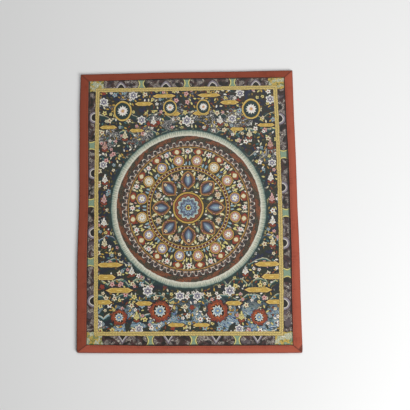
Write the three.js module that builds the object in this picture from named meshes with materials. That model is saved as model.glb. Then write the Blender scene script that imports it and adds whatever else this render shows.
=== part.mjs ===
// Painted cloth panel with a folded cloth binding, lying flat and face up.
// Millimetres: +X is the picture's right, +Y its top, and +Z points up off the painted face.

import * as THREE from 'three';

// Whole panel, over its binding
const PANEL_WIDTH = 360;
const PANEL_HEIGHT = 464;
// How far each corner lies off a true rectangle, so that one diagonal is the longer
const OUT_OF_SQUARE = 1.0;

// Cloth, and the space left between two pieces of it
const CANVAS_THICKNESS = 1.4;
const BINDING_THICKNESS = 1.1;
const GAP = 0.3;

// Bound edge: two leaves of binding with the canvas between them, round the outside
const BOUND_HEIGHT = 2 * BINDING_THICKNESS + CANVAS_THICKNESS + 2 * GAP;
const FOLD_OUTER_RADIUS = BOUND_HEIGHT / 2;
const FOLD_INNER_RADIUS = FOLD_OUTER_RADIUS - BINDING_THICKNESS;
// Each mitred end stops this far short of the corner's diagonal, measured along the side
const MITRE_SETBACK = 0.25;

// Canvas: its edge lies inside the fold, this share of the binding's width in from the outside
const CANVAS_EDGE_SHARE = 0.22;
// It leaves the binding at this share, then sinks to the surface over a stretch in millimetres
const SINK_START_SHARE = 1.15;
const SINK_LENGTH = 42;
const RAISED_BASE = BINDING_THICKNESS + GAP;

// Facets
const LEAF_STEPS = 1;
const FOLD_STEPS = 6;
const SIDE_STEPS = 22;
const CANVAS_STEPS = { across: 18, up: 24 };
// 0 spaces the facets evenly, 1 crowds them all the way towards the corners
const SIDE_CROWDING = 0.93;
const CANVAS_CROWDING = 0.7;

const CANVAS_FINISH = { color: 0x45423a, roughness: 0.7, metalness: 0 };
const BINDING_FINISH = { color: 0x9a4833, roughness: 0.85, metalness: 0 };

const CORNERS = {
	lowerLeft: new THREE.Vector2( - PANEL_WIDTH / 2 + OUT_OF_SQUARE, - PANEL_HEIGHT / 2 + OUT_OF_SQUARE ),
	lowerRight: new THREE.Vector2( PANEL_WIDTH / 2 + OUT_OF_SQUARE, - PANEL_HEIGHT / 2 - OUT_OF_SQUARE ),
	upperRight: new THREE.Vector2( PANEL_WIDTH / 2 - OUT_OF_SQUARE, PANEL_HEIGHT / 2 - OUT_OF_SQUARE ),
	upperLeft: new THREE.Vector2( - PANEL_WIDTH / 2 - OUT_OF_SQUARE, PANEL_HEIGHT / 2 + OUT_OF_SQUARE )
};

// The sides run counter-clockwise. A row says, at a share of the side's length, how far the edge
// bows out from a straight line and how wide the binding is. The end rows round the corners off.
const SIDES = {
	bottom: {
		from: 'lowerLeft',
		to: 'lowerRight',
		rows: [
			{ at: 0, bow: - 1.0, width: 11.5 },
			{ at: 0.01, bow: - 0.3, width: 12.2 },
			{ at: 0.1, bow: - 0.1, width: 12.3 },
			{ at: 0.33, bow: 0.15, width: 11.6 },
			{ at: 0.66, bow: 0.2, width: 12 },
			{ at: 0.9, bow: - 0.1, width: 12.2 },
			{ at: 0.99, bow: - 0.5, width: 12.1 },
			{ at: 1, bow: - 0.9, width: 11.7 }
		]
	},
	right: {
		from: 'lowerRight',
		to: 'upperRight',
		rows: [
			{ at: 0, bow: - 0.9, width: 14.1 },
			{ at: 0.01, bow: - 0.2, width: 14.8 },
			{ at: 0.13, bow: - 0.35, width: 14.1 },
			{ at: 0.37, bow: 0.55, width: 12.8 },
			{ at: 0.5, bow: 0, width: 12.2 },
			{ at: 0.66, bow: 0.35, width: 12.1 },
			{ at: 0.85, bow: - 0.3, width: 13.1 },
			{ at: 1, bow: - 0.2, width: 13.8 }
		]
	},
	top: {
		from: 'upperRight',
		to: 'upperLeft',
		rows: [
			{ at: 0, bow: - 0.2, width: 12 },
			{ at: 0.23, bow: - 0.3, width: 11.1 },
			{ at: 0.62, bow: 0.4, width: 11.3 },
			{ at: 0.82, bow: - 0.1, width: 12.2 },
			{ at: 1, bow: - 0.4, width: 12.9 }
		]
	},
	left: {
		from: 'upperLeft',
		to: 'lowerLeft',
		rows: [
			{ at: 0, bow: - 0.3, width: 14.2 },
			{ at: 0.13, bow: 0.45, width: 14.8 },
			{ at: 0.31, bow: - 0.3, width: 15.1 },
			{ at: 0.45, bow: - 1.1, width: 15.2 },
			{ at: 0.7, bow: 0.9, width: 15.9 },
			{ at: 0.88, bow: 0.2, width: 16 },
			{ at: 0.99, bow: - 0.3, width: 15.8 },
			{ at: 1, bow: - 1.0, width: 15.1 }
		]
	}
};
const BEFORE = { bottom: 'left', right: 'bottom', top: 'right', left: 'top' };
const AFTER = { bottom: 'right', right: 'top', top: 'left', left: 'bottom' };

// Smooth value of one column of a side's table, between its rows
function tableValue( side, column, at ) {

	const rows = SIDES[ side ].rows;
	const last = rows.length - 1;
	const upper = rows.findIndex( ( row, i ) => i === last || ( i > 0 && row.at >= at ) );
	const before = rows[ upper - 1 ];
	const after = rows[ upper ];
	const blend = THREE.MathUtils.smoothstep( at, before.at, after.at );
	return THREE.MathUtils.lerp( before[ column ], after[ column ], blend );

}

// How far a point lies in from a side's straight line. Share 0 is the outer edge, and 1 the
// binding's inner edge.
function inwardDistance( side, at, share ) {

	return share * tableValue( side, 'width', at ) - tableValue( side, 'bow', at );

}

// Unit vectors along a side and in towards the panel
function sideDirection( side ) {

	const { from, to } = SIDES[ side ];
	return CORNERS[ to ].clone().sub( CORNERS[ from ] ).normalize();

}

function inwardNormal( side ) {

	const along = sideDirection( side );
	return new THREE.Vector2( - along.y, along.x );

}

// Point on the diagonal of a corner where one side ends and the next begins
function cornerPoint( corner, ending, starting, share ) {

	return CORNERS[ corner ].clone()
		.addScaledVector( inwardNormal( ending ), inwardDistance( ending, 1, share ) )
		.addScaledVector( inwardNormal( starting ), inwardDistance( starting, 0, share ) );

}

// Point of the line that follows a side at a share of its binding's width
function sidePoint( side, at, share, setback = 0 ) {

	const { from, to } = SIDES[ side ];
	const along = sideDirection( side );
	const start = cornerPoint( from, BEFORE[ side ], side, share ).addScaledVector( along, setback );
	const end = cornerPoint( to, side, AFTER[ side ], share ).addScaledVector( along, - setback );
	const straight = THREE.MathUtils.lerp(
		inwardDistance( side, 0, share ), inwardDistance( side, 1, share ), at );
	const shift = inwardDistance( side, at, share ) - straight;
	return start.lerp( end, at ).addScaledVector( inwardNormal( side ), shift );

}

// Moves an even share of a length so that steps crowd together near both ends
function crowd( share, crowding ) {

	return share - crowding * Math.sin( 2 * Math.PI * share ) / ( 2 * Math.PI );

}

// Section of the folded strip: step 0 is the inner edge of its upper leaf, and the last step the
// inner edge of its lower leaf. Depth 0 is the cloth's inside, and 1 its outside.
function foldedSection( step, depth, width ) {

	const radius = FOLD_INNER_RADIUS + depth * BINDING_THICKNESS;
	const folded = step - LEAF_STEPS;
	if ( folded < 0 ) {

		const inward = THREE.MathUtils.lerp( width, FOLD_OUTER_RADIUS, step / LEAF_STEPS );
		return { inward, height: FOLD_OUTER_RADIUS + radius };

	}

	if ( folded > FOLD_STEPS ) {

		const share = ( folded - FOLD_STEPS ) / LEAF_STEPS;
		const inward = THREE.MathUtils.lerp( FOLD_OUTER_RADIUS, width, share );
		return { inward, height: FOLD_OUTER_RADIUS - radius };

	}

	const turn = Math.PI * folded / FOLD_STEPS;
	return {
		inward: FOLD_OUTER_RADIUS - radius * Math.sin( turn ),
		height: FOLD_OUTER_RADIUS + radius * Math.cos( turn )
	};

}

// Carries every point of a unit block with even facets to its place in a piece of cloth
function shapeBlock( geometry, place ) {

	const positions = geometry.getAttribute( 'position' );
	const point = new THREE.Vector3();
	for ( let i = 0; i < positions.count; i ++ ) {

		point.fromBufferAttribute( positions, i ).addScalar( 0.5 );
		positions.setXYZ( i, ...place( point ) );

	}

	geometry.computeVertexNormals();
	return geometry;

}

// A strip cut flat and folded round one side of the canvas, mitred at both ends
function bindingGeometry( side ) {

	const steps = 2 * LEAF_STEPS + FOLD_STEPS;
	const block = new THREE.BoxGeometry( 1, 1, 1, steps, SIDE_STEPS, 1 );
	return shapeBlock( block, ( point ) => {

		const at = crowd( point.y, SIDE_CROWDING );
		const width = tableValue( side, 'width', at );
		const section = foldedSection( Math.round( point.x * steps ), point.z, width );
		const place = sidePoint( side, at, section.inward / width, MITRE_SETBACK );
		return [ place.x, place.y, section.height ];

	} );

}

// Point of the canvas, by shares of its width and height, blended between its four edges
function canvasPoint( across, up, share ) {

	const bottom = sidePoint( 'bottom', across, share );
	const top = sidePoint( 'top', 1 - across, share );
	const left = sidePoint( 'left', 1 - up, share );
	const right = sidePoint( 'right', up, share );
	const lower = sidePoint( 'bottom', 0, share ).lerp( sidePoint( 'bottom', 1, share ), across );
	const upper = sidePoint( 'top', 1, share ).lerp( sidePoint( 'top', 0, share ), across );
	return bottom.lerp( top, up ).add( left.lerp( right, across ) ).sub( lower.lerp( upper, up ) );

}

// 0 where the binding holds the canvas up, and 1 where the canvas rests on the surface
function sunkShare( across, up ) {

	const sides = {
		bottom: { at: across, reach: up * PANEL_HEIGHT },
		top: { at: 1 - across, reach: ( 1 - up ) * PANEL_HEIGHT },
		left: { at: 1 - up, reach: across * PANEL_WIDTH },
		right: { at: up, reach: ( 1 - across ) * PANEL_WIDTH }
	};
	return Object.entries( sides ).reduce( ( sunk, [ side, { at, reach } ] ) => {

		const start = ( SINK_START_SHARE - CANVAS_EDGE_SHARE ) * tableValue( side, 'width', at );
		return sunk * THREE.MathUtils.smoothstep( reach, start, start + SINK_LENGTH );

	}, 1 );

}

// The painted sheet: raised where its edge is bound, and flat on the surface over its middle
function canvasGeometry() {

	const block = new THREE.BoxGeometry( 1, 1, 1, CANVAS_STEPS.across, CANVAS_STEPS.up, 1 );
	return shapeBlock( block, ( point ) => {

		const across = crowd( point.x, CANVAS_CROWDING );
		const up = crowd( point.y, CANVAS_CROWDING );
		const place = canvasPoint( across, up, CANVAS_EDGE_SHARE );
		const base = RAISED_BASE * ( 1 - sunkShare( across, up ) );
		return [ place.x, place.y, base + point.z * CANVAS_THICKNESS ];

	} );

}

function clothPiece( name, geometry, finish ) {

	const piece = new THREE.Mesh( geometry, new THREE.MeshStandardMaterial( finish ) );
	piece.name = name;
	return piece;

}

const panel = new THREE.Group();
panel.add( clothPiece( 'painted_canvas', canvasGeometry(), CANVAS_FINISH ) );
for ( const side of Object.keys( SIDES ) ) {

	panel.add( clothPiece( `binding_${ side }`, bindingGeometry( side ), BINDING_FINISH ) );

}

// The origin is the middle of the outline, on the surface that the panel lies on
const middle = new THREE.Box3().setFromObject( panel ).getCenter( new THREE.Vector3() );
panel.position.set( - middle.x, - middle.y, 0 );

export default panel;
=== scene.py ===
"""Looks of a hand-painted cloth panel with a red folded binding, lying face up on a pale surface."""

import logging
import math
from collections.abc import Callable
from dataclasses import dataclass
from enum import Enum

import bpy
import numpy as np
from mathutils import Matrix, Vector


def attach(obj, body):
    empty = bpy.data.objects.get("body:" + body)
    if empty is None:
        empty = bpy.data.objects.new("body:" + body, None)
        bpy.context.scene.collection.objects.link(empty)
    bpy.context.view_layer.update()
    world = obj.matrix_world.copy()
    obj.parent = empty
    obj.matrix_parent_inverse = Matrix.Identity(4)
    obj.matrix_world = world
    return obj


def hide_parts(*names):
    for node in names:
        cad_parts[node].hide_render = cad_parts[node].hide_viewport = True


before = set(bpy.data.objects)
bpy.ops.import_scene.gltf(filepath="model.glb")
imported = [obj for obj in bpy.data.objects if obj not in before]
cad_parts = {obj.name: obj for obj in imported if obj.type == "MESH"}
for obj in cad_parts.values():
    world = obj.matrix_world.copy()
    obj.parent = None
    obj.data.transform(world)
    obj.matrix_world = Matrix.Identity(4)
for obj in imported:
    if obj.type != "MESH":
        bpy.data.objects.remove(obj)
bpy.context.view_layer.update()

log = logging.getLogger("panel")
MM = 0.001
Paint = tuple[float, float, float, float]


def srgb(red: int, green: int, blue: int) -> Paint:
    """Linear colour of a paint given as 8-bit screen values.

    Args:
        red, green, blue: its levels, 0 to 255.

    Returns:
        Red, green and blue in linear light, and full cover.
    """
    level = np.array([red, green, blue]) / 255.0
    linear = np.where(level <= 0.04045, level / 12.92, ((level + 0.055) / 1.055) ** 2.4)
    return (float(linear[0]), float(linear[1]), float(linear[2]), 1.0)


def smoothstep(value: np.ndarray, start: float | np.ndarray, end: float | np.ndarray) -> np.ndarray:
    """0 up to start, 1 from end, and between them 3 s squared less 2 s cubed."""
    share = np.clip((value - start) / (end - start), 0.0, 1.0)
    return share * share * (3.0 - 2.0 * share)


def ripple(along: np.ndarray, seed: int, lengths: tuple[float, ...]) -> np.ndarray:
    """Uneven wave from -1 to 1: the mean of sines of these lengths, with seeded phases.

    Args:
        along: places along the wave, in metres.
        seed: which unevenness.
        lengths: lengths of its sines, in metres.

    Returns:
        The wave's height at each place.
    """
    phases = np.random.default_rng(seed).uniform(0, 2 * np.pi, len(lengths))
    waves = [np.sin(2 * np.pi * along / length + phase) for length, phase in zip(lengths, phases)]
    return sum(waves) / len(lengths)


def crowd(count: int, crowding: float) -> np.ndarray:
    """Shares from 0 to 1 that lie closer together near both ends: s less a sine of 2 pi s."""
    share = np.linspace(0, 1, count)
    return share - crowding * np.sin(2 * np.pi * share) / (2 * np.pi)


class Side(Enum):
    """The four bound sides, counter-clockwise as seen from above."""

    BOTTOM = "bottom"
    RIGHT = "right"
    TOP = "top"
    LEFT = "left"

    @property
    def node(self) -> str:
        """Name of the side's CAD node."""
        return f"binding_{self.value}"

    @property
    def along(self) -> np.ndarray:
        """Unit vector along the side, in counter-clockwise order."""
        turn = np.pi / 2 * list(Side).index(self)
        return np.array([np.cos(turn), np.sin(turn)]).round()

    @property
    def inward(self) -> np.ndarray:
        """Unit vector from the side towards the middle of the panel."""
        return np.array([-self.along[1], self.along[0]])


@dataclass
class SideLine:
    """One side of the panel, as its CAD strip gives it.

    The flat top of a strip ends at two lines: where the cloth starts to fold round the outside,
    and the inner edge. A point between or beyond them is found on the straight line through
    both, at a distance in from the outer edge.
    """

    side: Side
    fold: np.ndarray
    inner: np.ndarray
    radius: float

    @classmethod
    def read(cls, side: Side) -> "SideLine":
        """Reads the two lines from the upper face of the side's CAD strip.

        Args:
            side: which side.

        Returns:
            The side, with its two lines and its fold's radius.
        """
        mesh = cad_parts[side.node].data
        points = np.empty(len(mesh.vertices) * 3)
        mesh.vertices.foreach_get("co", points)
        points = np.unique(points.reshape(-1, 3).round(6), axis=0)
        flat_within, middle_of_leaf = 0.05 * MM, 7.5 * MM
        top = points[points[:, 2] > points[:, 2].max() - flat_within][:, :2]
        inset = top @ side.inward - (points[:, :2] @ side.inward).min()
        lines = [top[inset < middle_of_leaf], top[inset >= middle_of_leaf]]
        fold, inner = (line[np.argsort(line @ side.along)] for line in lines)
        return cls(side, fold, inner, float(np.ptp(points[:, 2]) / 2))

    @property
    def length(self) -> float:
        """Length of the side along its fold, in metres."""
        return float((self.fold[-1] - self.fold[0]) @ self.side.along)

    def on(self, line: np.ndarray, share: np.ndarray) -> np.ndarray:
        """Points of one of the two lines, at shares of its length."""
        known = (line - line[0]) @ self.side.along
        return np.stack([np.interp(share, known / known[-1], line[:, k]) for k in (0, 1)], axis=-1)

    def width(self, share: np.ndarray) -> np.ndarray:
        """Width of the binding's upper leaf from its outer edge, in metres."""
        gap = self.on(self.inner, share) - self.on(self.fold, share)
        return self.radius + gap @ self.side.inward

    def place(self, share: np.ndarray, inset: np.ndarray, reach: float = 0.0) -> np.ndarray:
        """Points over the side: the fold's point, moved along the line to the inner edge's point.

        Args:
            share: how far along the side, 0 to 1.
            inset: distance in from the outer edge, in metres.
            reach: how far both ends are stretched past those of the CAD strip, in metres.

        Returns:
            The points, (..., 2), in metres.
        """
        fold, inner = self.on(self.fold, share), self.on(self.inner, share)
        level = (inset - self.radius) / (self.width(share) - self.radius)
        stretch = (2 * share - 1)[..., None] * reach * self.side.along
        return fold + (inner - fold) * level[..., None] + stretch


def grid_faces(rows: int, columns: int, wrap: bool = False) -> np.ndarray:
    """Quads of a grid of vertices that is stored row by row.

    Args:
        rows: number of rows of vertices.
        columns: number of vertices in a row.
        wrap: join the last column to the first.

    Returns:
        (faces, 4) vertex numbers.
    """
    column = np.arange(columns if wrap else columns - 1)
    row = np.arange(rows - 1)[:, None] * columns
    here, beside = row + column, row + (column + 1) % columns
    return np.stack([here, beside, beside + columns, here + columns], axis=-1).reshape(-1, 4)


def new_object(name: str, data: bpy.types.ID) -> bpy.types.Object:
    """Makes an object of this data and links it to the scene.

    Args:
        name: the object's name.
        data: its mesh, light or camera.

    Returns:
        The new object.
    """
    made = bpy.data.objects.new(name, data)
    bpy.context.scene.collection.objects.link(made)
    return made


def new_piece(name: str, points: np.ndarray, faces: np.ndarray) -> bpy.types.Object:
    """Makes a smooth-shaded mesh object at the origin.

    Args:
        name: the piece's name.
        points: (n, 3) vertex places in metres.
        faces: (m, 4) vertex numbers, counter-clockwise from outside.

    Returns:
        The new object, linked to the scene.
    """
    mesh = bpy.data.meshes.new(name)
    mesh.from_pydata(points.tolist(), [], faces.tolist())
    mesh.shade_smooth()
    return new_object(name, mesh)


def set_attribute(piece: bpy.types.Object, name: str, values: np.ndarray) -> None:
    """Stores a number for each vertex of a piece, for its finish to read."""
    layer = piece.data.attributes.new(name, "FLOAT", "POINT")
    layer.data.foreach_set("value", np.ascontiguousarray(values, dtype=np.float32))


def new_material(name: str, look: dict[str, float | Paint]
                 ) -> tuple[bpy.types.Material, bpy.types.Node]:
    """Makes a material of one shader.

    Args:
        name: the material's name.
        look: values of the shader's sockets, by name.

    Returns:
        The material and its shader.
    """
    material = bpy.data.materials.new(name)
    material.use_nodes = True
    shader = material.node_tree.nodes["Principled BSDF"]
    for socket, value in look.items():
        shader.inputs[socket].default_value = value
    return material, shader


@dataclass
class BoundEdge:
    """One strip of binding, folded round the edge of the canvas and mitred at both ends."""

    line: SideLine
    cloth: float = 1.1 * MM
    stations: int = 320
    mitre_rounding: float = 0.7 * MM
    mitre_reach: float = 0.18 * MM
    crown: float = 0.25 * MM
    unevenness: float = 0.14 * MM
    hem_waver: float = 0.16 * MM
    pucker: float = 0.09 * MM
    seam_half: float = 0.8 * MM
    stitch_pitch: float = 3.1 * MM
    stitch_inset: float = 2.2 * MM
    stitch_length: float = 2.2 * MM
    stitch_half: float = 0.24 * MM
    stitch_rise: float = 0.2 * MM
    unsewn_ends: float = 16 * MM
    # Painted shade near both mitred ends and along the outer fold, and a painted highlight along the
    # crown of the upper leaf.
    shaded_end: float = 0.9 * MM
    shaded_fold: tuple[float, float] = (2.0 * MM, 0.5 * MM)
    rubbed_and_highlit_crown: tuple[float, float] = (0.3, 0.22)
    tip_dent: float = 0.0
    dent_reach: tuple[float, float] = (18 * MM, 12 * MM)
    dent_slant: float = 2.2

    @property
    def seed(self) -> int:
        """First of the side's own random seeds."""
        return 10 + 5 * list(Side).index(self.line.side)

    def share(self) -> np.ndarray:
        """Shares of the side's length at which the section stands."""
        return crowd(self.stations, 0.93)

    def width(self, share: np.ndarray) -> np.ndarray:
        """Width of the upper leaf with the hem's small unevenness."""
        along = share * self.line.length
        return self.line.width(share) + self.hem_waver * ripple(along, self.seed, (0.031, 0.017, 0.011))

    def relief(self, share: np.ndarray, leaf: np.ndarray) -> np.ndarray:
        """How far the upper leaf stands above its flat CAD face.

        A crown of a squared sine between fold and hem, plus seeded ripples, less a dip along the
        seam that deepens between its stitches.

        Args:
            share: how far along the side, 0 to 1.
            leaf: 0 at the fold and 1 at the hem.

        Returns:
            Heights in metres.
        """
        along = share * self.line.length
        near_fold = ripple(along, self.seed + 1, (0.083, 0.047, 0.026)) * (1 - leaf)
        near_hem = ripple(along, self.seed + 2, (0.061, 0.038, 0.019)) * leaf
        from_seam = (1 - leaf) * (self.width(share) - self.line.radius) - self.stitch_inset
        seam = np.exp(-(from_seam / self.seam_half) ** 2)
        between = 1.7 + np.cos(2 * np.pi * along / self.stitch_pitch)
        crown = self.crown * np.sin(np.pi * leaf) ** 2
        return crown + self.unevenness * (near_fold + near_hem) - self.pucker * between * seam

    def rail(self) -> tuple[np.ndarray, np.ndarray, np.ndarray]:
        """Points of the section along one face of the cloth, from the upper hem to the lower one.

        Returns:
            leaf, 1 at a hem and 0 at the fold; turn, the angle round the fold from its top; and
            nose, the angle round the hem's rounded edge, a right angle past it.
        """
        leaf, turn = np.linspace(1, 0, 11), np.linspace(0, np.pi, 15)[1:-1]
        nose = np.radians([12, 38, 64])
        at_nose, at_fold = np.ones_like(nose), np.zeros_like(turn)
        return (
            np.concatenate([at_nose, leaf, at_fold, leaf[::-1], at_nose]),
            np.concatenate([0 * at_nose, 0 * leaf, turn, np.pi + 0 * leaf, np.pi * at_nose]),
            np.concatenate([nose, np.full(2 * len(leaf) + len(turn), np.pi / 2), nose[::-1]]),
        )

    def soil_and_shade(self, along: np.ndarray, inset: np.ndarray, turn: np.ndarray, tip: np.ndarray
             ) -> np.ndarray:
        """How dark the cloth is: painted shade at its two mitred ends and along its fold, and soil in
        its dented tip.

        Args:
            along: how far along the side, in metres.
            inset: distance in from the outer edge, in metres.
            turn: angle round the fold from its top.
            tip: 1 in the dented tip and 0 away from it.

        Returns:
            0 for clean, unshaded cloth to 1 for the darkest.
        """
        upper_side = turn < np.pi / 2 + 0.5
        # Painted shade in the mitre creases at both ends and along the outer side of the fold; the
        # dented tip is a real stain.
        ends = np.exp(-np.minimum(along, self.line.length - along) / self.shaded_end)
        markings = 0.75 + 0.25 * ripple(along, self.seed + 3, (0.097, 0.043, 0.021))
        fold = markings * smoothstep(inset, *self.shaded_fold)
        return np.maximum(np.maximum(ends, tip * upper_side), fold)

    def ends(self, columns: int) -> np.ndarray:
        """Quads that close the first and the last section like the rungs of a ladder.

        Args:
            columns: number of vertices in a section.

        Returns:
            (faces, 4) vertex numbers.
        """
        rung = np.arange(columns // 2 - 1)
        ladder = np.stack([rung, rung + 1, columns - 2 - rung, columns - 1 - rung], axis=1)
        return np.concatenate([ladder[:, ::-1], ladder + (self.stations - 1) * columns])

    def make(self) -> bpy.types.Object:
        """Carries the section along the side, and closes both ends.

        The cloth's middle runs from the upper hem out to the fold, round it by a half turn, and
        back to the lower hem. Its two faces lie half a thickness off it, and meet in a half round
        at each hem. The thickness falls off in a quarter round at each mitre. Where a tip is
        dented, its upper face sinks in a soft step.

        Returns:
            The strip, with its threads' places, its soil and painted shade, and its fading and painted
            crown highlight, for its finish to read.
        """
        leaf, turn, nose = self.rail()
        face = np.concatenate([np.sin(nose), -np.sin(nose)[::-1]])
        leaf, turn, nose = (np.concatenate([part, part[::-1]]) for part in (leaf, turn, nose))
        share = self.share()[:, None]
        along, radius = share * self.line.length, self.line.radius
        to_end = np.minimum(along, self.line.length - along)
        slack = 1 - np.clip(to_end / self.mitre_rounding, 0, 1)
        half = self.cloth / 2 * np.clip(np.sqrt(1 - slack ** 2), 0.3, 1)

        hem = self.width(share) - self.cloth / 2
        arc = radius - self.cloth / 2 + face * half
        inset = radius + (hem - radius) * leaf + np.cos(nose) * half - arc * np.sin(turn)
        upper = np.clip(np.cos(turn), 0, 1)
        height = radius + arc * np.cos(turn) + upper * self.relief(share, leaf) * (1.5 + face / 2) / 2

        tip = smoothstep(along + self.dent_slant * inset, *self.dent_reach) * (self.tip_dent > 0)
        height = height - self.tip_dent * tip * upper

        spread = np.broadcast_to(share, inset.shape)
        place = self.line.place(spread, inset, self.mitre_reach)
        points = np.concatenate([place, np.maximum(height, 0)[..., None]], axis=-1)
        columns = inset.shape[1]
        faces = np.concatenate([grid_faces(self.stations, columns, wrap=True), self.ends(columns)])
        piece = new_piece(f"bound_edge_{self.line.side.value}", points.reshape(-1, 3), faces)

        leaf_run = (hem - radius) * np.where(turn < np.pi / 2, 1 - leaf, 1 + leaf)
        across = leaf_run + (radius - self.cloth / 2) * turn
        crest, spread_out = self.rubbed_and_highlit_crown
        # The soil values are painted shade at the fold and the mitred ends, plus soil in the dented
        # tip; the rubbed values are fading plus a painted highlight along the crown.
        markings = {
            "warp": along / MM,
            "weft": across / MM,
            "soil_and_shade": self.soil_and_shade(along, inset, turn, tip),
            "rubbed_and_highlit": np.exp(-((leaf - crest) / spread_out) ** 2) * (turn < 0.1),
        }
        for attribute, values in markings.items():
            set_attribute(piece, attribute, np.broadcast_to(values, across.shape).reshape(-1))
        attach(piece, "root")
        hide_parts(self.line.side.node)
        self.line.length
        return piece

    def stitches(self) -> tuple[np.ndarray, np.ndarray]:
        """Running stitches along the seam beside the hem.

        Each is a six-sided tube whose middle rises and whose ends sink into the cloth, by a
        parabola of the place along the stitch.

        Returns:
            Points and faces of all the side's stitches.
        """
        rings, sides = 7, 6
        count = int((self.line.length - self.unsewn_ends) / self.stitch_pitch)
        middle = (self.line.length - count * self.stitch_pitch) / 2
        centre = middle + (np.arange(count) + 0.5) * self.stitch_pitch
        step = np.linspace(-0.5, 0.5, rings)
        along = centre[:, None] + step * self.stitch_length
        share = along / self.line.length
        width = self.width(share)
        inset = width - self.stitch_inset
        leaf = (inset - self.line.radius) / (width - self.line.radius)
        seam = 2 * self.line.radius + self.relief(share, leaf)
        height = seam + self.stitch_rise * (1 - 8 * step ** 2)
        girth = self.stitch_half * np.sqrt(1.05 - (2 * step) ** 4)
        angle = np.arange(sides) * 2 * np.pi / sides
        aside = girth[None, :, None] * np.cos(angle)
        place = self.line.place(
            np.broadcast_to(share[..., None], (count, rings, sides)), inset[..., None] + aside)
        lift = height[..., None] + girth[None, :, None] * np.sin(angle)
        points = np.concatenate([place, lift[..., None]], axis=-1)
        tube = grid_faces(rings, sides, wrap=True)
        cap = np.array([[0, 1, 2, 3], [0, 3, 4, 5]])
        one = np.concatenate([tube, cap[:, ::-1], cap + (rings - 1) * sides])
        faces = one + (np.arange(count) * rings * sides)[:, None, None]
        return points.reshape(-1, 3), faces.reshape(-1, 4)


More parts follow.
